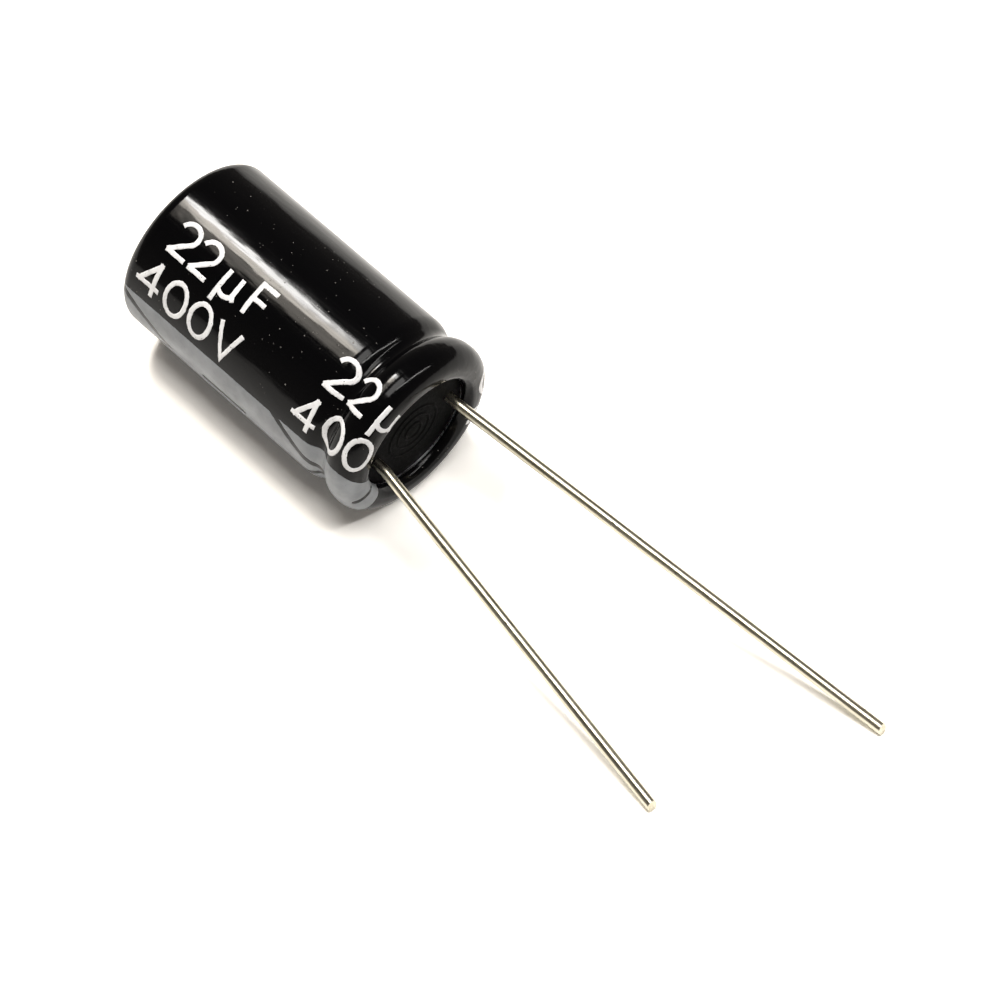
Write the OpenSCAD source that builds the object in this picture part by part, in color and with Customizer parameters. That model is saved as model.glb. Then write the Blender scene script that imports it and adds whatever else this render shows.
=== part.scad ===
// Radial aluminium electrolytic capacitor, lying on its side on its two splayed leads.
// The can's axis is X, with the leads on the +X side and +Z up. The origin is on that
// axis at the seating plane, where the rim would meet a circuit board. Millimetres.

/* [Case] */
// Length of the body over the sleeve
body_l = 17.2; // [15.9:0.1:25]
// Outer diameter of the drawn can
can_d = 9.9; // [9.5:0.1:12.5]
// Wall thickness of the can's side
can_t = 0.3; // [0.2:0.05:0.4]
// Thickness of the can's flat end
can_end_t = 0.45; // [0.3:0.05:0.8]
// Outer radius of the corner round the flat end
corner_r = 0.65; // [0.5:0.05:1.2]
// Length of each score line of the vent
score_l = 6.4; // [3:0.2:7]
// Depth of the score lines
score_depth = 0.14; // [0.05:0.01:0.2]

/* [Bead and Rim] */
// Distance from the seating plane to the middle of the bead
bead_x = 2.45; // [2.4:0.05:2.6]
// Depth of the bead below the can's side
bead_depth = 0.44; // [0.2:0.02:0.5]
// Radius of the bead's bottom
bead_bottom_r = 0.6; // [0.45:0.05:0.7]
// Radius of the two shoulders of the bead
bead_shoulder_r = 1.1; // [0.8:0.05:1.15]
// How far the rim stands proud of the can's side
rim_swell = 0.12; // [0:0.01:0.2]
// Outer radius of the curl at the rim
curl_r = 0.95; // [0.7:0.05:1]
// Radius at which the curled edge turns down into the rubber
lip_r = 0.45; // [0.42:0.01:0.5]
// Diameter of the mouth inside the curled edge
mouth_d = 7; // [6.8:0.1:7.1]
// How deep the can's edge bites into the rubber
bite = 0.1; // [0.05:0.01:0.3]

/* [Sleeve and Print] */
// Thickness of the shrunk sleeve
sleeve_t = 0.1; // [0.08:0.01:0.12]
// Diameter of the sleeve's opening over the flat end
window_d = 7.8; // [7:0.1:8.2]
// Thickness of the printed ink
ink_t = 0.03; // [0.02:0.01:0.05]
// Width of the printed stripe round the body
stripe_w = 4.3; // [3:0.1:6]
// Angle of the stripe's middle round the axis, up from +Y
stripe_deg = 190.5; // [185:0.5:200]
// Width of the dark gap along each printed arrow
gap_w = 0.34; // [0.2:0.02:0.6]
// How far each arrow's point is ahead of its ends
arrow_l = 3.6; // [2:0.1:5]
// Distance from the seating plane to the nearest arrow's point
arrow_x = 1.7; // [1.2:0.1:3]
// Distance from one printed arrow to the next
print_pitch = 11.45; // [8:0.05:13]
// Length of a minus bar
bar_l = 3.3; // [2:0.1:4]
// Width of a minus bar
bar_w = 0.38; // [0.2:0.02:0.8]
// Distance from the seating plane to the middle of the bar on the side
bar_x = 9.35; // [7:0.05:10]
// How far the bar on the rim starts from the axis
bar_rim_r = 4.65; // [4.3:0.05:4.8]
// Angle of the bar on the rim past the stripe's middle
bar_turn = 6; // [-8:1:8]
// How far the shrunk sleeve draws the stripe's upper edge round on the rim's face
creep_deg = 15; // [0:1:18]

/* [Rubber Seal] */
// Thickness of the seal from its inner end to the edge of its face
bung_t = 3.5; // [3.4:0.1:5]
// Depth of the seal's face below the seating plane
recess = 0.7; // [0.6:0.02:0.9]
// How far the middle of the face is domed up
dome_h = 0.1; // [0:0.02:0.3]
// Height of the moulded rings on the face
ring_h = 0.06; // [0.02:0.01:0.12]
// Width of each moulded ring
ring_w = 0.22; // [0.1:0.02:0.4]
// Radial distance from one moulded ring to the next
ring_pitch = 0.55; // [0.45:0.05:0.6]
// Number of moulded rings
rings = 3; // [1:1:3]

/* [Tabs] */
// Diameter of the round boss of a tab
boss_d = 1.5; // [1:0.1:1.8]
// How deep the boss sits in the seal, from its inner end
boss_depth = 2.1; // [1:0.1:2.2]
// Width of the flattened paddle
paddle_w = 2.2; // [1.9:0.1:2.6]
// Thickness of the flattened paddle
paddle_t = 0.25; // [0.15:0.01:0.35]
// How far the paddle stops short of the roll's far end
paddle_stop = 2; // [0.5:0.1:4]
// Length over which the boss is pressed flat
flare_l = 1; // [0.6:0.1:1.1]
// How far the round boss stands out of the seal into the can
boss_out = 0.4; // [0.2:0.05:0.4]

/* [Roll] */
// Diameter of the hollow core that the winding arbor left
core_d = 1.8; // [1.2:0.1:2.6]
// Thickness of the anode foil
anode_t = 0.12; // [0.08:0.01:0.16]
// Thickness of the cathode foil
cathode_t = 0.06; // [0.04:0.01:0.1]
// Thickness of each paper
paper_t = 0.06; // [0.04:0.01:0.1]
// How much shorter the foils are than the papers at each end
foil_margin = 0.5; // [0.2:0.1:1]
// Least gap between the roll and the can's side
roll_gap = 0.25; // [0.1:0.05:0.6]
// Space between the roll and the rubber seal
headroom = 1.55; // [1.5:0.05:2.5]
// Thickness of the closing tape
tape_t = 0.05; // [0.03:0.01:0.08]
// How much the tape stops short of the papers at each end
tape_margin = 1.5; // [0:0.1:3]

/* [Leads] */
// Distance between the two leads at the seal
lead_pitch = 5.2; // [5:0.1:5.3]
// Diameter of the tinned wire
wire_d = 0.6; // [0.5:0.05:0.8]
// Length of the anode lead from the seating plane
anode_l = 27.2; // [15:0.1:35]
// Length of the cathode lead from the seating plane
cathode_l = 21.9; // [12:0.1:30]
// Sideways splay of the anode lead
anode_splay_deg = 8.5; // [0:0.5:20]
// Sideways splay of the cathode lead
cathode_splay_deg = 6; // [0:0.5:20]
// Radius of the bend where a lead leaves the seal
bend_r = 2; // [1:0.1:2.5]
// How far the body is rolled, which lifts the anode lead
roll_deg = 6.3; // [-15:0.1:15]
// Angle of the sheared end of a lead
shear_deg = 28; // [0:1:45]
// Height of the weld between a tab and its lead
weld_h = 0.3; // [0.2:0.05:0.5]
// Diameter of the weld where it meets the tab
weld_d = 1.1; // [0.9:0.1:1.4]

/* [Hidden] */

// Smoothness of round forms, steps in a quarter turn of an outline, and the reach of cutting tools
$fn = 96;
arc_steps = 8;
over = 1;

// The bend of a wire is this much thicker, and the straight stretches run this far into it
bend_swell = 0.002;
bend_lap = 0.05;

// Radii of the case, measured from the axis
can_r = can_d / 2;
bore_r = can_r - can_t;
rim_r = can_r + rim_swell;
body_r = can_r + sleeve_t;
floor_r = rim_r + sleeve_t;
mouth_r = mouth_d / 2;
window_r = window_d / 2;
inner_corner_r = max(0.1, corner_r - can_t);

// Half the angle that the printed stripe covers, and the arrows that start on the body
stripe_half = stripe_w / (2 * body_r) * 180 / PI;
arrows = 1 + floor((body_l - arrow_x) / print_pitch);

// Places along the axis, measured from the seating plane
end_z = -(body_l - sleeve_t);
cavity_z = end_z + can_end_t;
rim_z = -sleeve_t;
face_z = -recess;
edge_z = face_z - bite;
bung_z = face_z - bung_t;
boss_z = bung_z + boss_depth;
roll_l = bung_z - headroom - cavity_z;
roll_z = cavity_z;
roll_top_z = roll_z + roll_l;
paddle_l = roll_l - paddle_stop;
flare_z = bung_z - boss_out - flare_l;

// The roll: layers from the inside out are anode foil, paper, cathode foil, paper
layer_in = [0, anode_t, anode_t + paper_t, anode_t + paper_t + cathode_t];
turn_t = anode_t + cathode_t + 2 * paper_t;
core_r = core_d / 2;
turns = floor((bore_r - roll_gap - core_r - turn_t / 2 - paddle_t - tape_t) / turn_t);
halves = 2 * turns;

// Half turns on which the two paddles lie, even ones on the anode's side, odd on the cathode's
tab_y = lead_pitch / 2;
paddle_r = tab_y - paddle_t / 2;
anode_half = 2 * round((paddle_r - core_r - layer_in[1]) / turn_t);
cathode_half = 2 * round((paddle_r - core_r - layer_in[3] - turn_t / 2) / turn_t) + 1;
anode_paddle_r = core_r + anode_half * turn_t / 2 + layer_in[1];
cathode_paddle_r = core_r + cathode_half * turn_t / 2 + layer_in[3];

// Lays a form that stands along Z down along +X, with its own X along +Y and its Y up
module laid_down() {
    rotate([90, 0, 90]) children();
}

// Points on an arc about c in the plane of an outline
function arc(c, r, a0, a1) = let (n = max(2, ceil(abs(a1 - a0) / 90 * arc_steps)))
    [for (i = [0:n]) c + r * [cos(a0 + (a1 - a0) * i / n), sin(a0 + (a1 - a0) * i / n)]];

function reversed(p) = [for (i = [len(p) - 1:-1:0]) p[i]];

// How far a shoulder turns until it meets the bottom of the bead, and how long it is
bead_sum = bead_bottom_r + bead_shoulder_r;
function bead_turn(depth) = acos((bead_sum - depth) / bead_sum);
function bead_half(depth) = bead_sum * sin(bead_turn(depth));
rim_depth = bead_depth + rim_swell;

// Outline of the can's side from its straight part over the bead, the rim and the curl,
// at a distance from the can's outer face: outside it for the sleeve, inside for the bore
function side_line(off) = concat(
    arc([can_r - bead_shoulder_r, -bead_x - bead_half(bead_depth)],
        bead_shoulder_r + off, 0, bead_turn(bead_depth)),
    arc([can_r - bead_depth + bead_bottom_r, -bead_x],
        bead_bottom_r - off, 180 + bead_turn(bead_depth), 180 - bead_turn(rim_depth)),
    arc([rim_r - bead_shoulder_r, -bead_x + bead_half(rim_depth)],
        bead_shoulder_r + off, -bead_turn(rim_depth), 0),
    arc([rim_r - curl_r, rim_z - curl_r], curl_r + off, 0, 90),
    arc([mouth_r + lip_r, rim_z - lip_r], lip_r + off, 90, 180)
);

// Outline of the rounded corner at the flat end, at a distance outside the can
function corner_line(off) = arc([can_r - corner_r, end_z + corner_r], corner_r + off, -90, 0);

// The sleeve as one film, before the ink takes its place in it
module film() {
    rotate_extrude() polygon(concat(
        [[window_r, end_z - sleeve_t]],
        corner_line(sleeve_t),
        side_line(sleeve_t),
        reversed(side_line(0)),
        reversed(corner_line(0)),
        [[window_r, end_z]]
    ));
}

module sleeve() {
    color([0.05, 0.05, 0.055]) laid_down() difference() {
        film();
        printed_field();
    }
}

module polarity_stripe() {
    color([0.68, 0.69, 0.7]) laid_down() intersection() {
        film();
        printed_field();
    }
}

// The can's inner outline is its outer one moved in by the wall, with a floor of its own
module can() {
    color([0.8, 0.81, 0.82]) laid_down() difference() {
        rotate_extrude() polygon(concat(
            [[0, end_z]],
            corner_line(0),
            side_line(0),
            [[mouth_r, edge_z], [mouth_r + can_t, edge_z]],
            reversed(side_line(-can_t)),
            reversed(arc([bore_r - inner_corner_r, cavity_z + inner_corner_r],
                inner_corner_r, -90, 0)),
            [[0, cavity_z]]
        ));
        for (a = [45, 135]) translate([0, 0, end_z]) rotate([0, 0, a]) score_line();
    }
}

// A V groove as long as one score of the vent
module score_line() {
    rotate([90, 0, 0]) linear_extrude(height = score_l, center = true)
        polygon([[-2 * score_depth, -score_depth], [2 * score_depth, -score_depth], [0, score_depth]]);
}

// Height of the domed face at a distance from the axis
function face_at(r) = face_z + dome_h * (1 - pow(r / mouth_r, 2));

// One moulded ring on the face, from its outer foot to its inner foot
function ring_line(r) = [
    [r + ring_w / 2, face_at(r + ring_w / 2)],
    [r + ring_w / 4, face_at(r) + ring_h],
    [r - ring_w / 4, face_at(r) + ring_h],
    [r - ring_w / 2, face_at(r - ring_w / 2)]
];

module bung() {
    rings_r = rings * ring_pitch + ring_w / 2;
    step = (rings_r - mouth_r) / arc_steps;
    face_points = concat(
        [for (i = [0:arc_steps - 1]) [mouth_r + i * step, face_at(mouth_r + i * step)]],
        [for (i = [rings:-1:1]) each ring_line(i * ring_pitch)],
        [[0, face_at(0)]]
    );
    color([0.12, 0.12, 0.125]) laid_down() difference() {
        rotate_extrude() polygon(concat(
            [[0, bung_z], [bore_r, bung_z]],
            side_line(-can_t),
            [[mouth_r + can_t, edge_z], [mouth_r, edge_z]],
            face_points
        ));
        at_leads() {
            translate([0, 0, bung_z - over]) cylinder(d = boss_d, h = boss_depth + over);
            weld();
            translate([0, 0, boss_z]) cylinder(d = wire_d, h = bung_t);
        }
    }
}

// Places a form at both lead holes, with the body rolled as it lies
module at_leads() {
    at_lead(1) children();
    at_lead(-1) children();
}

// side is 1 for the anode and -1 for the cathode
module at_lead(side) {
    rotate([0, 0, roll_deg]) translate([side * tab_y, 0, 0]) children();
}

// The weld tapers from the tab's flat end to the wire
module weld() {
    translate([0, 0, boss_z]) cylinder(d1 = weld_d, d2 = wire_d, h = weld_h);
}

// Centre of a lead at the seating plane, as [Y, Z]
function exit(side) = side * tab_y * [cos(roll_deg), sin(roll_deg)];

// Unit direction of a lead's straight part: splayed sideways, and down until its tip rests
function lead_way(side, l, splay) =
    let (dz = (-floor_r + wire_d / 2 - exit(side)[1]) / l, dxy = sqrt(1 - dz * dz))
    [dxy * cos(splay), side * dxy * sin(splay), dz];

// A wire straight out of the seal, bent once at the seating plane and sheared at its end
module lead(side, l, splay) {
    way = lead_way(side, l, splay);
    bend = acos(way[0]);
    bend_l = bend_r * tan(bend / 2);
    lean = atan2(way[2], way[1]);
    translate([-bend_l, exit(side)[0], exit(side)[1]]) rotate([lean, 0, 0]) union() {
        translate([boss_z + bend_l, 0, 0]) rotate([0, 90, 0])
            cylinder(d1 = weld_d, d2 = wire_d, h = weld_h);
        translate([bend_lap, 0, 0]) rotate([0, -90, 0])
            cylinder(d = wire_d, h = bend_lap - boss_z - bend_l);
        translate([0, bend_r, 0]) {
            rotate([0, 0, -90]) rotate_extrude(angle = bend)
                translate([bend_r, 0]) circle(r = wire_d / 2 + bend_swell);
            rotate([0, 0, bend]) translate([0, -bend_r, 0]) difference() {
                translate([-bend_lap, 0, 0]) rotate([0, 90, 0])
                    cylinder(d = wire_d, h = l - bend_l + bend_lap);
                translate([l - bend_l, 0, 0]) rotate([-lean, 0, 0]) sheared_off();
            }
        }
    }
}

// What the cutter takes off the end of a wire along X, leaving its underside longest
module sheared_off() {
    translate([0, -over, -wire_d / 2]) rotate([0, -shear_deg, 0]) cube([over, 2 * over, 2 * over]);
}

module anode_lead() {
    color([0.85, 0.82, 0.72]) lead(1, anode_l, anode_splay_deg);
}

module cathode_lead() {
    color([0.85, 0.82, 0.72]) lead(-1, cathode_l, cathode_splay_deg);
}

// Half a turn of the roll between two radii, on the side where X has the sign of side,
// moved outwards by shift where it lies over a paddle
module half_turn(side, r0, r1, shift, h) {
    translate([side * shift, side * turn_t / 4, 0]) rotate([0, 0, -side * 90])
        rotate_extrude(angle = 180) translate([r0, 0]) square([r1 - r0, h]);
}

// Half turns of even number lie on the anode's side
function half_side(j) = j % 2 == 0 ? 1 : -1;

// Inner radius of layer k on half turn j
function layer_r(k, j) = core_r + j * turn_t / 2 + layer_in[k];

// A layer over a paddle lies further out by the paddle's thickness
function layer_shift(k, j) =
    layer_r(k, j) > (j % 2 == 0 ? anode_paddle_r : cathode_paddle_r) - turn_t / 100 ? paddle_t : 0;

// The flat between half turn j and the next one
module bridge(k, j, t, h) {
    side = half_side(j);
    x0 = min(side * layer_shift(k, j), -side * layer_shift(k, j + 1));
    x1 = max(side * layer_shift(k, j), -side * layer_shift(k, j + 1));
    y = side * (layer_r(k, j) + turn_t / 4);
    if (x1 > x0) translate([x0, min(y, y + side * t), 0]) cube([x1 - x0, t, h]);
}

// One strip of the roll: layer k as a spiral of half turns, inset by margin at both ends
module strip(k, first, last, t, margin) {
    h = roll_l - 2 * margin;
    laid_down() rotate([0, 0, roll_deg]) translate([0, 0, roll_z + margin]) union() {
        for (j = [first:last])
            half_turn(half_side(j), layer_r(k, j), layer_r(k, j) + t, layer_shift(k, j), h);
        for (j = [max(0, first - 1):last - 1]) bridge(k, j, t, h);
    }
}

module anode_foil() {
    color([0.62, 0.63, 0.65]) strip(0, 0, halves - 1, anode_t, foil_margin);
}

module inner_separator() {
    color([0.86, 0.8, 0.66]) strip(1, 0, halves - 1, paper_t, 0);
}

module cathode_foil() {
    color([0.75, 0.76, 0.78]) strip(2, 0, halves - 1, cathode_t, foil_margin);
}

module outer_separator() {
    color([0.86, 0.8, 0.66]) strip(3, 0, halves - 1, paper_t, 0);
}

// One turn of tape over the last turn of the roll
module closing_tape() {
    color([0.9, 0.78, 0.45]) strip(0, halves, halves + 1, tape_t, tape_margin);
}

// A tab: a paddle pressed to the curve of the turn it lies on, a flare and a round boss
module tab(side, r) {
    mid = side * (r + paddle_t / 2);
    laid_down() rotate([0, 0, roll_deg]) union() {
        intersection() {
            difference() {
                paddle_round(side, r, paddle_t);
                paddle_round(side, r, 0);
            }
            translate([side > 0 ? 0 : -bore_r, -paddle_w / 2, roll_top_z - paddle_l])
                cube([bore_r, paddle_w, paddle_l + flare_z + flare_l / 4 - roll_top_z]);
        }
        intersection() {
            translate([side * tab_y, 0, flare_z]) cylinder(d1 = paddle_w, d2 = boss_d, h = flare_l);
            translate([0, paddle_w / 2, 0]) rotate([90, 0, 0]) linear_extrude(height = paddle_w) polygon([
                [mid - paddle_t / 2, flare_z],
                [mid + paddle_t / 2, flare_z],
                [side * tab_y + boss_d / 2, flare_z + flare_l],
                [side * tab_y - boss_d / 2, flare_z + flare_l]
            ]);
        }
        translate([side * tab_y, 0, flare_z + flare_l])
            cylinder(d = boss_d, h = boss_z - flare_z - flare_l);
    }
}

// The round of the turn that a paddle lies on, moved outwards by shift
module paddle_round(side, r, shift) {
    translate([side * shift, side * turn_t / 4, roll_top_z - paddle_l - over])
        cylinder(r = r, h = paddle_l + headroom + 2 * over);
}

module anode_tab() {
    color([0.83, 0.84, 0.86]) tab(1, anode_paddle_r);
}

module cathode_tab() {
    color([0.83, 0.84, 0.86]) tab(-1, cathode_paddle_r);
}

// The printed field runs over the whole film, as deep as the ink and out past its surface,
// with arrow gaps and minus bars left dark
module printed_field() {
    inner = sleeve_t - ink_t;
    outer = sleeve_t + ink_t;
    difference() {
        intersection() {
            rotate([0, 0, stripe_deg - stripe_half]) rotate_extrude(angle = 2 * stripe_half) polygon(concat(
                [[window_r - over, end_z - outer]],
                corner_line(outer),
                side_line(outer),
                [[mouth_r - outer, face_z], [mouth_r - inner, face_z]],
                reversed(side_line(inner)),
                reversed(corner_line(inner)),
                [[window_r - over, end_z - inner]]
            ));
            union() {
                translate([0, 0, end_z - over]) cylinder(r = floor_r + over, h = over - curl_r - end_z);
                translate([0, 0, -curl_r - over]) linear_extrude(height = curl_r + 2 * over) rim_field();
            }
        }
        for (i = [0:arrows - 1]) printed_gap() translate([-arrow_x - i * print_pitch, 0]) arrow_gap();
        printed_gap() translate([-bar_x, 0]) bar();
        rotate([0, 0, stripe_deg + bar_turn]) translate([bar_rim_r - bar_l / 2, 0, -curl_r - over])
            linear_extrude(height = curl_r + 2 * over) bar();
    }
}

// Puts a flat form, with X along the can's axis, through the ink at the stripe's middle
module printed_gap() {
    rotate([0, 0, stripe_deg]) rotate([0, 90, 0]) rotate([0, 0, 180])
        translate([0, 0, body_r - stripe_w / 2]) linear_extrude(height = stripe_w) children();
}

// The V of dark sleeve between two printed arrows, its point at the origin
module arrow_gap() {
    reach = 2 * stripe_w;
    slope = arrow_l / (stripe_w / 2);
    gap_x = gap_w * sqrt(1 + slope * slope);
    polygon([
        [-slope * reach, -reach], [0, 0], [-slope * reach, reach],
        [-slope * reach - gap_x, reach], [-gap_x, 0], [-slope * reach - gap_x, -reach]
    ]);
}

// A minus bar with round ends
module bar() {
    square([bar_l - bar_w, bar_w], center = true);
    for (x = [-1, 1]) translate([x * (bar_l - bar_w) / 2, 0]) circle(d = bar_w);
}

// The stripe as seen from the lead end, where the shrunk sleeve draws its upper edge round
module rim_field() {
    from = stripe_deg - stripe_half;
    to = stripe_deg + stripe_half;
    aside = 20;
    polygon([
        [0, 0],
        (mouth_r - lip_r) * [cos(from + creep_deg), sin(from + creep_deg)],
        floor_r * [cos(from), sin(from)],
        2 * floor_r * [cos(from - aside), sin(from - aside)],
        3 * floor_r * [cos(stripe_deg), sin(stripe_deg)],
        2 * floor_r * [cos(to + aside), sin(to + aside)]
    ]);
}

sleeve();
polarity_stripe();
can();
bung();
anode_lead();
cathode_lead();
anode_tab();
cathode_tab();
anode_foil();
inner_separator();
cathode_foil();
outer_separator();
closing_tape();
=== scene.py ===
# %% [markdown]
# # A radial aluminium electrolytic capacitor
#
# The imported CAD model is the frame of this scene: an aluminium can in a black shrunk sleeve,
# a rubber seal in its mouth, two tinned wires, and the wound roll inside. Blender gives it its
# looks. The frame comes first, because every size below is measured on it.

# %% Load the frame
import math

import bmesh
import bpy
import numpy as np
from mathutils import Matrix, Vector, noise
from mathutils.geometry import delaunay_2d_cdt


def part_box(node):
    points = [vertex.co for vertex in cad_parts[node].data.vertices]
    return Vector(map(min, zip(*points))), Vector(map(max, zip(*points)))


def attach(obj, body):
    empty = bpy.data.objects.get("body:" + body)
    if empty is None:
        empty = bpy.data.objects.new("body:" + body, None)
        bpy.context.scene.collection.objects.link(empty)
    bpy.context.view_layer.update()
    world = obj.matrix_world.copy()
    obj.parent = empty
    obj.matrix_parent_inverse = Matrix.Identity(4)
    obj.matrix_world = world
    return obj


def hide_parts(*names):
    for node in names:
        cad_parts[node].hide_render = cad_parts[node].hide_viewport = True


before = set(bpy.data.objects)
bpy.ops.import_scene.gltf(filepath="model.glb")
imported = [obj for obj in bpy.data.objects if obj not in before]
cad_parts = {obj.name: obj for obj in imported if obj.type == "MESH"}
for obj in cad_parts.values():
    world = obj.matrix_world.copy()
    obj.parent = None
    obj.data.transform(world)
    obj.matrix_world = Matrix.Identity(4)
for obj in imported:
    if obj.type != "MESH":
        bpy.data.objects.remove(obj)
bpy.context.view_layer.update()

print("nodes:", ", ".join(sorted(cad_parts)))

# %% [markdown]
# ## Sizes
#
# The frame is in metres, with +X out along the wires, +Z up and the origin where the seal's
# end would sit on a board. Thinking in millimetres is easier for a part this small, so the
# outlines below are in millimetres, and one factor takes them to metres at the end.

# %% Read the driving sizes off the frame
MM = 0.001
sleeve_low = np.array(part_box("sleeve")[0]) / MM
seal_low = np.array(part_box("bung")[0]) / MM
body_l = round(-sleeve_low[0], 2)
rim_over_sleeve_r = round(-sleeve_low[2], 2)
film_t = 0.1
rim_swell = 0.12
rim_r = rim_over_sleeve_r - film_t
can_r = rim_r - rim_swell
body_r = can_r + film_t
print(f"body {body_l} mm long, {2 * body_r:.2f} mm across, rim {2 * rim_over_sleeve_r:.2f} mm across")

# %% [markdown]
# ## The outline of the drawn can
#
# A can is a figure of revolution, so one line says everything about its side: a rounded
# corner, a straight wall, the bead that grips the seal, the rim, and the edge curled into
# the rubber. The sleeve follows the same line one film further out, and spans the bead a
# little instead of touching its bottom. Arcs meet tangentially here, as rolls and dies leave
# them, and that is what keeps the reflections unbroken.

# %% Draw the can's side as arcs
can_t, corner_r = 0.3, 0.65
bead_x, bead_depth, bead_bottom_r, bead_shoulder_r = 2.45, 0.44, 0.6, 1.1
curl_r, lip_r, mouth_r, window_r = 0.95, 0.45, 3.5, 3.9
end_x = -(body_l - film_t)


def arc(middle, radius, start, stop, step=3.0):
    """Points (x, r) on an arc; angles are measured from the radial direction towards +X."""
    count = max(3, math.ceil(abs(stop - start) / step))
    angles = np.radians(np.linspace(start, stop, count + 1))
    return [(middle[0] + radius * math.sin(a), middle[1] + radius * math.cos(a)) for a in angles]


def bead_turn(depth):
    """How far a shoulder turns until it meets the bottom of the bead."""
    both = bead_bottom_r + bead_shoulder_r
    return math.degrees(math.acos((both - depth) / both))


def bead_ends():
    """Where the bead starts and ends along the can."""
    both = bead_bottom_r + bead_shoulder_r
    return (-bead_x - both * math.sin(math.radians(bead_turn(bead_depth))),
            -bead_x + both * math.sin(math.radians(bead_turn(bead_depth + rim_swell))))


def corner_line(off):
    return arc((end_x + corner_r, can_r - corner_r), corner_r + off, -90, 0)


def side_line(off):
    far, near = bead_turn(bead_depth), bead_turn(bead_depth + rim_swell)
    far_x, near_x = bead_ends()
    crown = [(x, rim_r + off) for x in np.linspace(near_x, -film_t - curl_r, 4)[1:-1]]
    return (
        arc((far_x, can_r - bead_shoulder_r), bead_shoulder_r + off, 0, far)
        + arc((-bead_x, can_r - bead_depth + bead_bottom_r), bead_bottom_r - off, 180 + far, 180 - near)[1:]
        + arc((near_x, rim_r - bead_shoulder_r), bead_shoulder_r + off, -near, 0)[1:] + crown
        + arc((-film_t - curl_r, rim_r - curl_r), curl_r + off, 0, 90)
        + arc((-film_t - lip_r, mouth_r + lip_r), lip_r + off, 90, 180)
    )


def clean_line(points, least=1e-4):
    """Drops points that repeat the one before."""
    kept = [points[0]]
    for p in points[1:]:
        if math.dist(p, kept[-1]) > least:
            kept.append(p)
    return kept


def bridged(points, off, share=0.16):
    """Lifts the film out of the bead by a share of its depth, as film spans a groove."""
    far_x, near_x = bead_ends()
    made = []
    for x, r in points:
        along = min(1.0, max(0.0, (x - far_x) / (near_x - far_x)))
        brim = can_r + off + rim_swell * along
        made.append((x, r + share * max(0.0, brim - r) if far_x < x < near_x else r))
    return made


film_outside = clean_line([(end_x - film_t, window_r)] + corner_line(film_t)
                          + bridged(side_line(film_t), film_t))
film_inside = clean_line([(end_x, window_r)] + corner_line(0) + bridged(side_line(0), 0), 0.06)
print(len(film_outside), "points on the sleeve's outer line, from", film_outside[0], "to", film_outside[-1])

# %% [markdown]
# ## Building node trees from a script
#
# Geometry Nodes and materials are both node trees. Two small helpers keep the rest readable:
# one adds a node and joins its inputs, the other does a single sum.

# %% Helpers for node trees
def add(tree, kind, inputs=(), **settings):
    """A new node; inputs are numbers, colours or sockets, in a list by place or a dict by name."""
    made = tree.nodes.new(kind)
    for name, value in settings.items():
        setattr(made, name, value)
    pairs = inputs.items() if isinstance(inputs, dict) else enumerate(inputs)
    for key, value in pairs:
        if isinstance(value, bpy.types.NodeSocket):
            tree.links.new(value, made.inputs[key])
        elif value is not None:
            made.inputs[key].default_value = value
    return made


def calc(tree, what, *values):
    """One sum of the Math node."""
    return add(tree, "ShaderNodeMath", values, operation=what).outputs[0]


def start_tree(title, sizes):
    """A Geometry Nodes tree with a mesh in, a mesh out, and named inputs for its sizes."""
    tree = bpy.data.node_groups.new(title, "GeometryNodeTree")
    tree.interface.new_socket("Geometry", in_out="INPUT", socket_type="NodeSocketGeometry")
    for name, kind in sizes.items():
        tree.interface.new_socket(name, in_out="INPUT", socket_type="NodeSocket" + kind)
    tree.interface.new_socket("Geometry", in_out="OUTPUT", socket_type="NodeSocketGeometry")
    return tree, tree.nodes.new("NodeGroupInput").outputs


def end_tree(tree, shape, material):
    """Ends a tree: real mesh instead of instances, then its finish."""
    real = add(tree, "GeometryNodeRealizeInstances", [shape]).outputs[0]
    coated = add(tree, "GeometryNodeSetMaterial", {"Geometry": real, "Material": material}).outputs[0]
    tree.links.new(coated, tree.nodes.new("NodeGroupOutput").inputs[0])


def named_value(tree, name, kind="FLOAT"):
    """Reads an attribute that the seed mesh carries."""
    return add(tree, "GeometryNodeInputNamedAttribute", {"Name": name}, data_type=kind).outputs[0]


# %% [markdown]
# ## From a tree to a plain mesh
#
# A modifier that stays live would be lost or frozen by an export, so each tree runs once on
# its seed mesh, and the evaluated result is copied to a plain mesh. The count of edges
# with one face tells whether the skin is closed.

# %% Run a tree and keep its result
def line_mesh(name, points, closed=False, **attributes):
    """A seed mesh of points joined in a row."""
    count = len(points)
    edges = [(i, i + 1) for i in range(count - 1)] + ([(count - 1, 0)] if closed else [])
    seed = bpy.data.meshes.new(name)
    seed.from_pydata([tuple(p) for p in points], edges, [])
    for title, values in attributes.items():
        seed.attributes.new(title, "FLOAT", "POINT").data.foreach_set("value", list(values))
    return seed


def grow(name, seed, tree, **sizes):
    """Runs a tree on a seed mesh; sizes are its inputs, with _ for a space."""
    piece = bpy.data.objects.new(name, seed)
    bpy.context.scene.collection.objects.link(piece)
    run = piece.modifiers.new("grow", "NODES")
    run.node_group = tree
    for item in tree.interface.items_tree:
        key = item.name.replace(" ", "_")
        if item.in_out == "INPUT" and key in sizes:
            run[item.identifier] = sizes[key]
    ready = piece.evaluated_get(bpy.context.evaluated_depsgraph_get())
    mesh = bpy.data.meshes.new_from_object(ready)
    piece.modifiers.remove(run)
    piece.data = mesh
    mesh.name = name
    return piece


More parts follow.
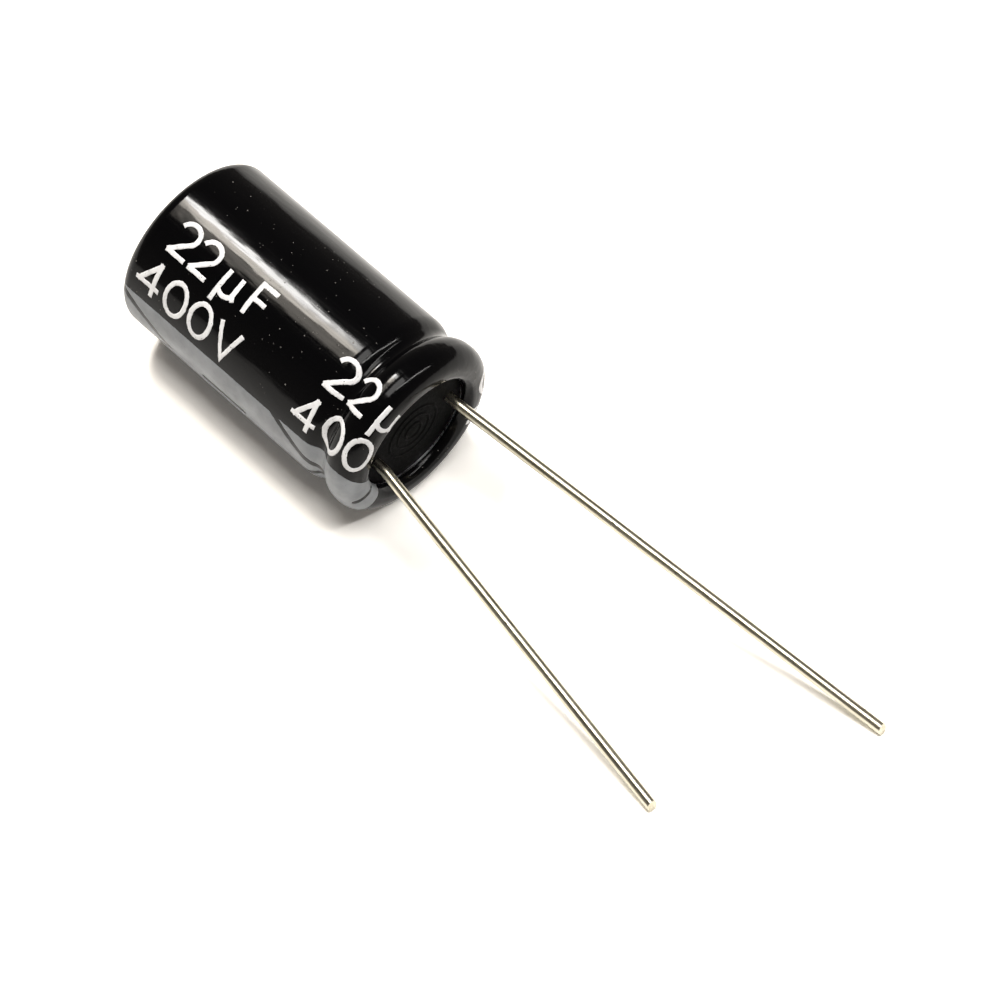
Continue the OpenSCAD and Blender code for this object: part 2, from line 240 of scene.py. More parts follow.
def tidy(piece, smooth=True):
    """Turns all faces outwards and prints what the piece is made of."""
    work = bmesh.new()
    work.from_mesh(piece.data)
    bmesh.ops.recalc_face_normals(work, faces=work.faces)
    if work.calc_volume(signed=True) < 0:
        bmesh.ops.reverse_faces(work, faces=work.faces)
    open_edges = sum(1 for edge in work.edges if len(edge.link_faces) != 2)
    triangles = sum(len(face.verts) - 2 for face in work.faces)
    work.to_mesh(piece.data)
    work.free()
    piece.data.polygons.foreach_set("use_smooth", [smooth] * len(piece.data.polygons))
    print(f"{piece.name}: {triangles} triangles, {open_edges} open edges")
    return piece


# %% [markdown]
# ## Finishes
#
# Each finish is a Principled shader whose colour, roughness and bump come from procedural
# textures on Object coordinates, which are metres here. A texture scale of 1000 therefore
# means about one feature a millimetre. Values that are the same all over, such as the index
# of refraction, sit on the shader itself.

# %% Helpers for finishes
def new_finish(title, colour, rough, metal=0.0, ior=1.5):
    """A material with its Principled shader, and the coordinates that its textures read."""
    finish = bpy.data.materials.new(title)
    finish.use_nodes = True
    tree = finish.node_tree
    shader = tree.nodes["Principled BSDF"]
    shader.inputs["Base Color"].default_value = (*colour, 1)
    shader.inputs["Roughness"].default_value = rough
    shader.inputs["Metallic"].default_value = metal
    shader.inputs["IOR"].default_value = ior
    place = tree.nodes.new("ShaderNodeTexCoord").outputs["Object"]
    return finish, tree, shader, place


def stretched(tree, place, scale):
    """The coordinates, scaled differently along each axis."""
    return add(tree, "ShaderNodeMapping", {"Vector": place, "Scale": scale}).outputs[0]


def noise_of(tree, place, scale, detail=3.0, rough=0.5):
    return add(tree, "ShaderNodeTexNoise",
               {"Vector": place, "Scale": scale, "Detail": detail, "Roughness": rough}).outputs["Fac"]


def spread(tree, value, from_min, from_max, to_min, to_max):
    """Maps one range onto another, and stops at its ends."""
    return add(tree, "ShaderNodeMapRange", [value, from_min, from_max, to_min, to_max]).outputs[0]


def blend_colours(tree, share, first, second):
    """A colour between two others; each is a socket or three numbers."""
    colours = [c if isinstance(c, bpy.types.NodeSocket) else (*c, 1) for c in (first, second)]
    mixer = add(tree, "ShaderNodeMix", {0: share, 6: colours[0], 7: colours[1]}, data_type="RGBA")
    return mixer.outputs[2]


def bump_up(tree, shader, height, depth, strength=1.0, before=None):
    """Bump from a height between 0 and 1 over that depth in metres."""
    bump = add(tree, "ShaderNodeBump", {"Height": height, "Distance": depth, "Strength": strength})
    if before is not None:
        tree.links.new(before, bump.inputs["Normal"])
    tree.links.new(bump.outputs[0], shader.inputs["Normal"])
    return bump.outputs[0]


# %% [markdown]
# ## The black shrunk film
#
# Shrink film is a glossy plastic. What makes it read as real is small: it is never quite
# even, it picks up hairline scratches along the body from the tube it was fed through, and
# pale dust sits on it. A wide soft unevenness goes into the bump, fine scratches into bump
# and roughness, and the dust into colour: round dots of a Voronoi texture, of which
# only some cells are kept.

# %% Make the film's finish
film_black, tree, shader, place = new_finish("sleeve_black", (0.0015, 0.0015, 0.0018), 0.06, ior=1.46)
shader.inputs["Specular IOR Level"].default_value = 0.165
wide = noise_of(tree, stretched(tree, place, (200, 520, 520)), 1.0, 3.0, 0.45)
hair = noise_of(tree, stretched(tree, place, (300, 9000, 9000)), 1.0, 2.0, 0.6)
cells = add(tree, "ShaderNodeTexVoronoi", {"Vector": place, "Scale": 4600.0, "Randomness": 1.0})
which = add(tree, "ShaderNodeSeparateColor", [cells.outputs["Color"]])
speck_size = spread(tree, which.outputs[0], 0.6, 1.0, 0.0, 0.2)
speck = calc(tree, "LESS_THAN", cells.outputs["Distance"], speck_size)
patchy = spread(tree, noise_of(tree, place, 260.0, 2.0), 0.46, 0.58, 0.0, 1.0)
dust = calc(tree, "MULTIPLY", speck, patchy)
tree.links.new(blend_colours(tree, dust, (0.0015, 0.0015, 0.0018), (0.14, 0.135, 0.125)),
               shader.inputs["Base Color"])
gloss = spread(tree, hair, 0.4, 0.75, 0.08, 0.2)
tree.links.new(calc(tree, "MAXIMUM", gloss, calc(tree, "MULTIPLY", dust, 0.7)),
               shader.inputs["Roughness"])
bumped = bump_up(tree, shader, wide, 0.00009, 0.6)
bump_up(tree, shader, hair, 0.000002, 0.5, before=bumped)
print("film finish:", len(tree.nodes), "nodes")

# %% [markdown]
# ## The sleeve
#
# The real sleeve is a tube of film shrunk over the can, so it hugs the bead and rolls over
# both ends. It could be modelled by hand or with the Screw modifier. A tree does it here,
# because the same rule also spins the seal: a grid of vertices takes its outline from the
# seed line and its angle from its column, and merging by distance closes the seam and the
# poles. Where the film is gathered in over the rim it puckers a little; the seed carries
# a weight for that at each point.

# %% Build the tree that spins an outline
def spinning_tree(title, material):
    tree, size = start_tree(title, {"Steps": "Int", "Pucker": "Float", "Pucker Scale": "Float"})
    outline = size["Geometry"]
    count = add(tree, "GeometryNodeAttributeDomainSize", [outline]).outputs["Point Count"]
    columns = calc(tree, "ADD", size["Steps"], 1.0)
    rows = calc(tree, "ADD", count, 1.0)
    grid = add(tree, "GeometryNodeMeshGrid", {"Vertices X": columns, "Vertices Y": rows}).outputs[0]
    index = tree.nodes.new("GeometryNodeInputIndex").outputs[0]
    column = calc(tree, "FLOOR", calc(tree, "DIVIDE", calc(tree, "ADD", index, 0.5), rows))
    row = calc(tree, "SUBTRACT", index, calc(tree, "MULTIPLY", column, rows))
    row = calc(tree, "FLOOR", calc(tree, "ADD", calc(tree, "FLOORED_MODULO", row, count), 0.5))
    at = add(tree, "GeometryNodeSampleIndex",
             {"Geometry": outline, "Value": tree.nodes.new("GeometryNodeInputPosition").outputs[0],
              "Index": row}, data_type="FLOAT_VECTOR").outputs[0]
    weight = add(tree, "GeometryNodeSampleIndex",
                 {"Geometry": outline, "Value": named_value(tree, "pucker"), "Index": row},
                 data_type="FLOAT").outputs[0]
    point = add(tree, "ShaderNodeSeparateXYZ", [at]).outputs
    turn = calc(tree, "MULTIPLY", calc(tree, "DIVIDE", column, size["Steps"]), 2 * math.pi)
    across, up = calc(tree, "COSINE", turn), calc(tree, "SINE", turn)
    ring = add(tree, "ShaderNodeCombineXYZ",
               [calc(tree, "MULTIPLY", point[0], 150.0),
                calc(tree, "MULTIPLY", across, size["Pucker Scale"]),
                calc(tree, "MULTIPLY", up, size["Pucker Scale"])]).outputs[0]
    wave = calc(tree, "SUBTRACT", noise_of(tree, ring, 1.0, 1.0), 0.5)
    pull = calc(tree, "MULTIPLY", calc(tree, "MULTIPLY", wave, size["Pucker"]), weight)
    radius = calc(tree, "ADD", point[1], pull)
    spun = add(tree, "ShaderNodeCombineXYZ",
               [point[0], calc(tree, "MULTIPLY", radius, across), calc(tree, "MULTIPLY", radius, up)])
    shape = add(tree, "GeometryNodeSetPosition", {"Geometry": grid, "Position": spun.outputs[0]}).outputs[0]
    shape = add(tree, "GeometryNodeMergeByDistance", {"Geometry": shape, "Distance": 1e-7}).outputs[0]
    end_tree(tree, shape, material)
    return tree


def spin(name, points, tree, steps=256, pucker=0.0, pucker_scale=9.0, weights=None):
    """Spins a closed outline of (x, r) in millimetres round the X axis."""
    weights = [0.0] * len(points) if weights is None else weights
    seed = line_mesh(name, [(x * MM, r * MM, 0) for x, r in points], True, pucker=weights)
    return tidy(grow(name, seed, tree, Steps=steps, Pucker=pucker * MM, Pucker_Scale=pucker_scale))


def pucker_weight(x, r):
    """More puckers where the film is drawn in: over the rim and round the flat end."""
    drawn_in = max(0.0, (body_r - r) / (body_r - mouth_r))
    return drawn_in if x > -film_t - curl_r or x < end_x + corner_r else 0.0


film_outline = film_outside + film_inside[::-1]
sleeve = spin("shrunk_sleeve", film_outline, spinning_tree("spin_film", film_black), steps=288,
              pucker=0.012, weights=[pucker_weight(x, r) for x, r in film_outline])
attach(sleeve, "root")
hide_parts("sleeve")

# %% [markdown]
# ## Ink on a curved film
#
# The sleeve is printed flat, before it shrinks, so its print follows every curve of the film.
# Each printed field is drawn flat, as x along the can and y round it, cut into small
# triangles, given a thickness, and wrapped by a tree that looks up the sleeve's outer line:
# the distance along the film finds a point and its tangent, and y becomes an angle.

# %% Tell distances along the film
film_run = np.array(film_outside)
film_steps = np.hypot(*np.diff(film_run, axis=0).T)
film_l = np.concatenate([[0], np.cumsum(film_steps)])
side_points = film_run[:, 0] <= -film_t - curl_r
rim_start = film_l[side_points][-1]


def along_film(x):
    """Distance along the film, from the far opening, of a place x on the side; past the rim
    the film simply runs on round the curl."""
    on_side = np.interp(x, film_run[side_points][:, 0], film_l[side_points])
    over = np.maximum(0.0, np.asarray(x) - (-film_t - curl_r))
    return on_side + over


def film_radius(l):
    return np.interp(l, film_l, film_run[:, 1])


print(f"the film is {film_l[-1]:.2f} mm long along its outline; the rim starts at {rim_start:.2f} mm")

# %% Build the tree that wraps a print
def wrapping_tree(title, material):
    tree, size = start_tree(title, {"Outline": "Object", "Middle": "Float", "Round": "Float",
                                    "Sunk": "Float", "Proud": "Float"})
    line = add(tree, "GeometryNodeObjectInfo", {"Object": size["Outline"]}).outputs["Geometry"]
    line = add(tree, "GeometryNodeMeshToCurve", [line]).outputs[0]
    flat = add(tree, "ShaderNodeSeparateXYZ", [tree.nodes.new("GeometryNodeInputPosition").outputs[0]])
    on_line = add(tree, "GeometryNodeSampleCurve",
                  {"Curves": line, "Length": flat.outputs[0]}, mode="LENGTH")
    foot = add(tree, "ShaderNodeSeparateXYZ", [on_line.outputs["Position"]]).outputs
    way = add(tree, "ShaderNodeSeparateXYZ", [on_line.outputs["Tangent"]]).outputs
    thick = calc(tree, "ADD", size["Sunk"], size["Proud"])
    height = calc(tree, "SUBTRACT", calc(tree, "MULTIPLY", flat.outputs[2], thick), size["Sunk"])
    x = calc(tree, "SUBTRACT", foot[0], calc(tree, "MULTIPLY", height, way[1]))
    radius = calc(tree, "ADD", foot[1], calc(tree, "MULTIPLY", height, way[0]))
    turn = calc(tree, "ADD", size["Middle"], calc(tree, "DIVIDE", flat.outputs[1], size["Round"]))
    placed = add(tree, "ShaderNodeCombineXYZ",
                 [x, calc(tree, "MULTIPLY", radius, calc(tree, "COSINE", turn)),
                  calc(tree, "MULTIPLY", radius, calc(tree, "SINE", turn))]).outputs[0]
    shape = add(tree, "GeometryNodeSetPosition", {"Geometry": size["Geometry"], "Position": placed})
    end_tree(tree, shape.outputs[0], material)
    return tree


film_seed = line_mesh("film_line", [(x * MM, r * MM, 0) for x, r in film_outside])
film_line = bpy.data.objects.new("film_line", film_seed)

# %% [markdown]
# ## Cutting a flat print into triangles
#
# A constrained Delaunay triangulation takes outlines, holes and loose points together. The
# loose points, a tenth of a millimetre apart, let the print bend; the outlines wander a few
# hundredths of a millimetre, as ink does on film. The noise that moves them differs from run
# to run unless it is given a seed, so it gets one, and each run draws the same edges. Top,
# bottom and edge then make a thin closed solid.

# %% Make a flat print
noise.seed_set(1)


def ragged(points, amount, grain=0.35, step=0.07):
    """A closed outline with more points, each moved a little by noise."""
    made = []
    for a, b in zip(points, points[1:] + points[:1]):
        count = max(1, math.ceil(math.dist(a, b) / step))
        for i in range(count):
            p = Vector((*a, 0)).lerp(Vector((*b, 0)), i / count)
            shift = noise.noise_vector(p / grain) + 0.6 * noise.noise_vector(p / grain * 3.1)
            made.append((p.x + amount * shift.x, p.y + amount * shift.y))
    return made


def turned_left(outline):
    """The outline with its inside on the left, as the triangulation wants it."""
    x, y = np.array(outline).T
    return outline if np.dot(x, np.roll(y, -1)) > np.dot(y, np.roll(x, -1)) else outline[::-1]


def flat_print(name, outlines, holes=(), step=0.1):
    """A thin closed solid, x and y in metres and z 0 or 1, from outlines in millimetres."""
    points, faces = [], []
    for outline in list(outlines) + list(holes):
        start = len(points)
        points += [Vector(p) for p in turned_left(outline)]
        faces.append(list(range(start, len(points))))
    low = np.min([p for outline in outlines for p in outline], axis=0)
    high = np.max([p for outline in outlines for p in outline], axis=0)
    for i, x in enumerate(np.arange(low[0], high[0], step)):
        points += [Vector((x, y + step / 2 * (i % 2))) for y in np.arange(low[1], high[1], step)]
    flat, _, triangles, _, _, owners = delaunay_2d_cdt(points, [], faces, 1, 1e-5)
    inked = [t for t, own in zip(triangles, owners)
             if any(o < len(outlines) for o in own) and not any(o >= len(outlines) for o in own)]
    used = sorted({i for t in inked for i in t})
    place = {old: new for new, old in enumerate(used)}
    count = len(used)
    tops = [tuple(place[i] for i in t) for t in inked]
    half_edges = {(t[k], t[k - 2]) for t in tops for k in range(3)}
    rim = [(a, b) for a, b in half_edges if (b, a) not in half_edges]
    solid = ([tuple(t) for t in tops] + [tuple(i + count for i in t[::-1]) for t in tops]
             + [(b, a, a + count, b + count) for a, b in rim])
    spots = [(flat[i].x * MM, flat[i].y * MM, 1.0) for i in used]
    spots += [(x, y, 0.0) for x, y, _ in spots]
    mesh = bpy.data.meshes.new(name)
    mesh.from_pydata(spots, [], solid)
    return mesh


def wrap(name, flat, tree, middle_deg, proud=0.004, sunk=0.02):
    """Wraps a flat print round the sleeve, its y axis at that angle up from +Y."""
    return tidy(grow(name, flat, tree, Outline=film_line, Middle=math.radians(middle_deg),
                     Round=body_r * MM, Sunk=sunk * MM, Proud=proud * MM))


# %% [markdown]
# ## Printing ink
#
# The grey field is one pass of ink over black film, so it is uneven: thinner in soft clouds,
# with pinholes. The lettering is the same ink, yet its colour is set far paler than the
# field's. That difference is painted light on the lettering, which faces upwards, and painted
# shade on the stripe, which faces down to the side.

# %% Make the inks
def ink(title, thin, full, pinholes, rough=0.34):
    finish, tree, shader, place = new_finish(title, full, rough, ior=1.5)
    clouds = spread(tree, noise_of(tree, place, 700.0, 4.0, 0.6), 0.32, 0.66, 0.0, 1.0)
    colour = blend_colours(tree, clouds, thin, full)
    fine = noise_of(tree, place, 9000.0, 2.0, 0.6)
    holes = spread(tree, fine, pinholes, pinholes + 0.06, 0.0, 1.0)
    tree.links.new(blend_colours(tree, holes, colour, (0.03, 0.03, 0.032)), shader.inputs["Base Color"])
    tree.links.new(spread(tree, clouds, 0.0, 1.0, rough + 0.1, rough - 0.06), shader.inputs["Roughness"])
    bump_up(tree, shader, fine, 0.000004, 0.5)
    return finish


# Both are one ink: the field's colour is darkened as painted shade on the stripe's lower side, and the
# letters' colour is paled as painted light on their upper side.
field_ink_painted_shade = ink("print_grey", (0.172, 0.183, 0.196), (0.238, 0.253, 0.273), 0.72)
letter_ink_painted_light = ink("letter_white", (0.7, 0.7, 0.71), (0.86, 0.86, 0.87), 0.66)

# %% [markdown]
# ## The polarity stripe
#
# A radial capacitor tells its negative wire by a pale stripe on that side. Dark gaps cut it
# into arrows that point to the wire, and dark bars in it stand for minus. This is a common
# pattern on such parts. The arrows' gap is a V; the second bar has slid over the rim with
# the shrinking film, and so has the stripe's upper edge.

# %% Draw and wrap the stripe
stripe_deg, stripe_w = 190.5, 4.3
gap_w, arrow_l, arrow_x, print_pitch = 0.34, 3.6, 1.7, 11.45
bar_l, bar_w, bar_x, bar_rim_r, bar_rim_end, bar_turn, creep_deg = 3.3, 0.38, 9.35, 4.85, 0.35, 6, 15
half_w, lip_gap = stripe_w / 2, 0.02


def creep_at(l):
    """How far the stripe's upper edge has been drawn round, in millimetres of its width,
    at a distance along the film: nothing on the side, all of it at the lip."""
    r = film_radius(l)
    share = np.clip((rim_over_sleeve_r - r) / (rim_over_sleeve_r - mouth_r), 0, 1)
    return math.radians(creep_deg) * body_r * float(share) if l > rim_start else 0.0


ends = (lip_gap, film_l[-1] - lip_gap)
upper = [(l, -half_w + creep_at(l)) for l in np.linspace(*ends, 240)]
stripe_field = ragged(upper + [(ends[1], half_w), (ends[0], half_w)], 0.016)


def arrow_gap(tip_x):
    """The V between two arrows, its point towards the wires."""
    reach = 1.1 * half_w
    slope = arrow_l / half_w
    across = gap_w * math.hypot(1, slope)
    corners = [(tip_x - slope * reach, -reach), (tip_x, 0), (tip_x - slope * reach, reach),
               (tip_x - slope * reach - across, reach), (tip_x - across, 0),
               (tip_x - slope * reach - across, -reach)]
    return [(float(along_film(x)), y) for x, y in corners]


def minus_bar(middle, y=0.0, length=bar_l, width=bar_w):
    """A bar with round ends, its length along the can."""
    half = (length - width) / 2
    right = [(middle + half + width / 2 * math.sin(a), y + width / 2 * math.cos(a))
             for a in np.linspace(0, math.pi, 9)]
    left = [(2 * middle - x, 2 * y - v) for x, v in right]
    return right + left


rim_bar_from = float(np.interp(-bar_rim_r, -film_run[~side_points][:, 1], film_l[~side_points]))
rim_bar_to = film_l[-1] - bar_rim_end
gaps = [ragged(arrow_gap(-arrow_x - i * print_pitch), 0.02) for i in range(2)]
bars = [ragged(minus_bar(float(along_film(-bar_x))), 0.015),
        ragged(minus_bar((rim_bar_from + rim_bar_to) / 2, math.radians(bar_turn) * body_r,
                         rim_bar_to - rim_bar_from), 0.015)]
stripe = wrap("minus_stripe", flat_print("minus_stripe", [stripe_field], gaps + bars),
              wrapping_tree("wrap_stripe", field_ink_painted_shade), stripe_deg)
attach(stripe, "root")
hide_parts("polarity_stripe")

# %% [markdown]
# ## Plain lettering
#
# The sleeve shows its ratings in plain single-stroke letters. These here are generic values in
# a plain round hand: each letter is a few centre lines on a cell one unit high, and a stroke
# of ink is laid along each. Lines of the print repeat along the film, so the second set
# runs over the bead and the rim, and the back of the can has a set of its own.

# %% Draw letters as strokes
def bow(x, y, rx, ry, start, stop, count=14):
    """Centre line of a bow, angles from +X turning up."""
    return [(x + rx * math.cos(a), y + ry * math.sin(a))
            for a in np.radians(np.linspace(start, stop, count))]


LETTERS = {
    "2": [bow(0.33, 0.69, 0.33, 0.31, 165, -35) + [(0.02, 0.0)], [(0.0, 0.0), (0.7, 0.0)]],
    "4": [[(0.56, 0.0), (0.56, 1.06)], [(0.6, 1.04), (0.02, 0.24)], [(-0.05, 0.3), (0.78, 0.3)]],
    "0": [bow(0.35, 0.5, 0.35, 0.5, 80, 280), bow(0.35, 0.5, 0.35, 0.5, -100, 100)],
    "V": [[(0.0, 1.0), (0.38, 0.0), (0.76, 1.0)]],
    "F": [[(0.0, 0.0), (0.0, 1.0), (0.56, 1.0)], [(0.0, 0.53), (0.48, 0.53)]],
    "u": [[(0.06, 0.72), (0.0, -0.32)], bow(0.28, 0.2, 0.26, 0.2, 180, 360) + [(0.54, 0.72)],
          [(0.54, 0.72), (0.54, 0.16), (0.64, 0.02)]],
}


def stroke(line, width):
    """The outline of a stroke along a centre line, with mitred corners and blunt ends."""
    line = [np.array(p, float) for p in line]
    ways = [(b - a) / np.linalg.norm(b - a) for a, b in zip(line, line[1:])]
    ways = [ways[0]] + ways + [ways[-1]]
    left, right = [], []
    for i, p in enumerate(line):
        along = ways[i] + ways[i + 1]
        along /= np.linalg.norm(along)
        across = np.array((-along[1], along[0]))
        reach = width / 2 / max(0.45, abs(float(np.dot(along, ways[i]))))
        left.append(tuple(p + across * reach))
        right.append(tuple(p - across * reach))
    return left + right[::-1]


def lettering(text, starts, cap, width=0.27):
    """Outlines of a line of letters; x along the can and y down, in millimetres."""
    made = []
    for letter, start in zip(text, starts):
        for line in LETTERS[letter]:
            flat = [(start + x * cap, (1 - y) * cap) for x, y in line]
            outline = [(float(along_film(x)), y) for x, y in ragged(stroke(flat, width), 0.02, 0.25)]
            made.append(outline)
    return made


# %% Wrap the ratings round the sleeve
line_1 = ("22uF", (-15.4, -13.85, -11.8, -9.85), 1.85)
line_2 = ("400V", (-16.1, -14.15, -12.35, -10.5), 1.95)
letters_tree = wrapping_tree("wrap_letters", letter_ink_painted_light)
line_1_deg, line_2_deg, back_turn, widest = 106.0, 137.5, 212.0, 0.8
rows = [(name + side + order, line, top_deg + turn, shift)
        for side, turn in (("", 0.0), ("_back", back_turn))
        for order, shift in (("", 0.0), ("_next", print_pitch))
        for name, line, top_deg in (("rating_capacity", line_1, line_1_deg),
                                    ("rating_voltage", line_2, line_2_deg))]
film_end_x = film_l[-1] - rim_start - film_t - curl_r
for name, (text, starts, cap), top_deg, shift in rows:
    starts = [s + shift for s in starts]
    shown = [(c, s) for c, s in zip(text, starts) if s + widest * cap < film_end_x]
    outlines = lettering([c for c, _ in shown], [s for _, s in shown], cap)
    line_of_print = wrap(name, flat_print(name, outlines, step=0.12), letters_tree, top_deg, proud=0.005)
    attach(line_of_print, "root")

# %% [markdown]
# ## The rubber seal
#
# The seal is a moulded plug of butyl rubber, squeezed by the bead and held in by the curled
# edge. Its face is slightly domed with three moulded rings. It is spun by the same tree as the
# sleeve, and the holes for the wires and the tabs are then cut with the Boolean modifier,
# because they lie off the axis.

# %% Make the rubber's finish
seal_rubber, tree, shader, place = new_finish("seal_rubber", (0.004, 0.004, 0.004), 0.45, ior=1.42)
shader.inputs["Specular IOR Level"].default_value = 0.035
grain = noise_of(tree, place, 6000.0, 4.0, 0.65)
smears = noise_of(tree, place, 500.0, 3.0)
tree.links.new(blend_colours(tree, spread(tree, smears, 0.4, 0.7, 0.0, 1.0), (0.0015, 0.0015, 0.0015),
                             (0.004, 0.004, 0.004)), shader.inputs["Base Color"])
tree.links.new(spread(tree, grain, 0.3, 0.7, 0.5, 0.75), shader.inputs["Roughness"])
bump_up(tree, shader, grain, 0.000012, 0.6)

# %% Spin the seal and cut its holes
bung_x, seal_l, edge_drop = round(seal_low[0], 2), 3.5, 0.1
face_x = round(bung_x + seal_l, 2)
edge_x = face_x - edge_drop
bore_r = can_r - can_t
dome_h, ring_h, ring_w, ring_pitch, rings = 0.1, 0.06, 0.22, 0.55, 3
boss_x, boss_r, weld_r, weld_h, wire_r = bung_x + 2.1, 0.75, 0.55, 0.3, 0.3
roll_deg, lead_pitch = 6.3, 5.2


def face_at(r):
    """The domed face with its rings, each a smooth swell."""
    dome = face_x + dome_h * (1 - (r / mouth_r) ** 2)
    near = min(abs(r - k * ring_pitch) for k in range(1, rings + 1))
    return dome + ring_h * (0.5 + 0.5 * math.cos(math.pi * min(1.0, near / (ring_w / 2)))) ** 0.8


def seat_of(side):
    """Where a wire leaves the seal, as (y, z); side is 1 for the anode and -1 for the cathode."""
    turn = math.radians(roll_deg)
    return side * lead_pitch / 2 * math.cos(turn), side * lead_pitch / 2 * math.sin(turn)


seal_outline = clean_line(
    [(bung_x, 0), (bung_x, bore_r)] + side_line(-can_t) + [(edge_x, mouth_r + can_t), (edge_x, mouth_r)]
    + [(face_at(r), r) for r in np.linspace(mouth_r, 0, 120)])
rubber_tree = spinning_tree("spin_rubber", seal_rubber)
seal = spin("rubber_seal", seal_outline, rubber_tree, steps=160)
drill_from, drill_to = bung_x - 1, 0.5
hole_outline = [(drill_from, 0), (drill_from, boss_r), (boss_x, boss_r), (boss_x, weld_r),
                (boss_x + weld_h, wire_r), (drill_to, wire_r), (drill_to, 0)]
for side in (1, -1):
    drill = spin("drill", hole_outline, rubber_tree, steps=48)
    y, z = seat_of(side)
    drill.data.transform(Matrix.Translation((0, y * MM, z * MM)))
    cut = seal.modifiers.new("hole", "BOOLEAN")
    cut.object, cut.operation, cut.solver = drill, "DIFFERENCE", "EXACT"
    bored = bpy.data.meshes.new_from_object(seal.evaluated_get(bpy.context.evaluated_depsgraph_get()))
    seal.modifiers.remove(cut)
    seal.data = bored
    bpy.data.objects.remove(drill)
tidy(seal)
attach(seal, "root")
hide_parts("bung")

# %% [markdown]
# ## The tinned wires
#
# Each wire is copper-clad steel drawn through a die and dipped in tin, so fine lines run along
# it and the tin varies a little. The pattern has to follow the wire, so the tree that
# sweeps a circle along the path also writes down where each point lies on it: how far
# along, and which way off the centre line.

# %% Make the tin's finish
tinned_wire, tree, shader, _ = new_finish("tinned_wire", (0.7, 0.665, 0.56), 0.36, metal=1.0)
on_wire = add(tree, "ShaderNodeAttribute", attribute_name="on_wire").outputs["Vector"]
drawn = noise_of(tree, stretched(tree, on_wire, (120, 9000, 9000)), 1.0, 3.0, 0.6)
dips = noise_of(tree, stretched(tree, on_wire, (700, 2500, 2500)), 1.0, 4.0, 0.6)
specks = noise_of(tree, stretched(tree, on_wire, (3500, 6000, 6000)), 1.0, 2.0)
pits = spread(tree, specks, 0.68, 0.74, 0.0, 1.0)
dipped = spread(tree, dips, 0.35, 0.65, 0.0, 1.0)
tin = blend_colours(tree, dipped, (0.61, 0.565, 0.435), (0.73, 0.69, 0.57))
tree.links.new(blend_colours(tree, pits, tin, (0.2, 0.17, 0.12)), shader.inputs["Base Color"])
tree.links.new(spread(tree, drawn, 0.3, 0.7, 0.18, 0.34), shader.inputs["Roughness"])
bumped = bump_up(tree, shader, drawn, 0.000003, 0.6)
bump_up(tree, shader, dips, 0.000012, 0.5, before=bumped)

# %% Build the tree that sweeps a wire
def sweeping_tree(title, material):
    tree, size = start_tree(title, {"Sides": "Int", "Lay Back": "Float", "Thickness": "Float"})
    path = add(tree, "GeometryNodeMeshToCurve", [size["Geometry"]]).outputs[0]
    part = tree.nodes.new("GeometryNodeSplineParameter").outputs
    notes = {
        "middle": ("FLOAT_VECTOR", tree.nodes.new("GeometryNodeInputPosition").outputs[0]),
        "way": ("FLOAT_VECTOR", tree.nodes.new("GeometryNodeInputTangent").outputs[0]),
        "far": ("FLOAT", part["Length"]),
        "last": ("FLOAT", calc(tree, "GREATER_THAN", part["Factor"], 0.99999)),
    }
    for name, (kind, value) in notes.items():
        path = add(tree, "GeometryNodeStoreNamedAttribute",
                   {"Geometry": path, "Name": name, "Value": value}, data_type=kind).outputs[0]
    circle = add(tree, "GeometryNodeCurvePrimitiveCircle",
                 {"Resolution": size["Sides"], "Radius": 1.0}).outputs[0]
    tube = add(tree, "GeometryNodeCurveToMesh",
               {"Curve": path, "Profile Curve": circle, "Scale": named_value(tree, "thick"),
                "Fill Caps": True})
    place = tree.nodes.new("GeometryNodeInputPosition").outputs[0]
    off = add(tree, "ShaderNodeVectorMath", [place, named_value(tree, "middle", "FLOAT_VECTOR")],
              operation="SUBTRACT").outputs[0]
    off = add(tree, "ShaderNodeSeparateXYZ", [off]).outputs
    above = calc(tree, "ADD", off[2], size["Thickness"])
    leant = calc(tree, "MULTIPLY", above, size["Lay Back"])
    back = calc(tree, "MULTIPLY", leant, named_value(tree, "last"))
    shift = add(tree, "ShaderNodeVectorMath",
                {0: named_value(tree, "way", "FLOAT_VECTOR"), "Scale": calc(tree, "MULTIPLY", back, -1.0)},
                operation="SCALE").outputs[0]
    on_wire = add(tree, "ShaderNodeCombineXYZ", [named_value(tree, "far"), off[1], off[2]]).outputs[0]
    shape = add(tree, "GeometryNodeStoreNamedAttribute",
                {"Geometry": tube.outputs[0], "Name": "on_wire", "Value": on_wire},
                data_type="FLOAT_VECTOR").outputs[0]
    shape = add(tree, "GeometryNodeSetPosition", {"Geometry": shape, "Offset": shift}).outputs[0]
    end_tree(tree, shape, material)
    return tree


# %% Lay the wires' paths
bend_r, shear_deg, straight_xs = 2.0, 28.0, (0.6, 1.0)
floor_z = -rim_over_sleeve_r


def wire_path(side, length, splay_deg):
    """Points down a wire's centre from its weld to its tip, and its radius at each."""
    y, z = seat_of(side)
    seat = Vector((0, y, z))
    dz = (floor_z + wire_r - z) / length
    dxy = math.sqrt(1 - dz * dz)
    splay = math.radians(splay_deg)
    way = Vector((dxy * math.cos(splay), side * dxy * math.sin(splay), dz))
    bend = math.acos(way.x)
    before = bend_r * math.tan(bend / 2)
    sideways = Vector((0, way.y, way.z)).normalized()
    points = [Vector((boss_x + x, y, z)) for x in (0, weld_h, *straight_xs)]
    radii = [weld_r] + [wire_r] * 3
    start = seat - Vector((before, 0, 0))
    for a in np.linspace(0, bend, 7):
        points.append(start + Vector((bend_r * math.sin(a), 0, 0)) + sideways * bend_r * (1 - math.cos(a)))
        radii.append(wire_r)
    for l in np.linspace(before, length, 60)[1:]:
        points.append(seat + way * float(l))
        radii.append(wire_r)
    return points, radii


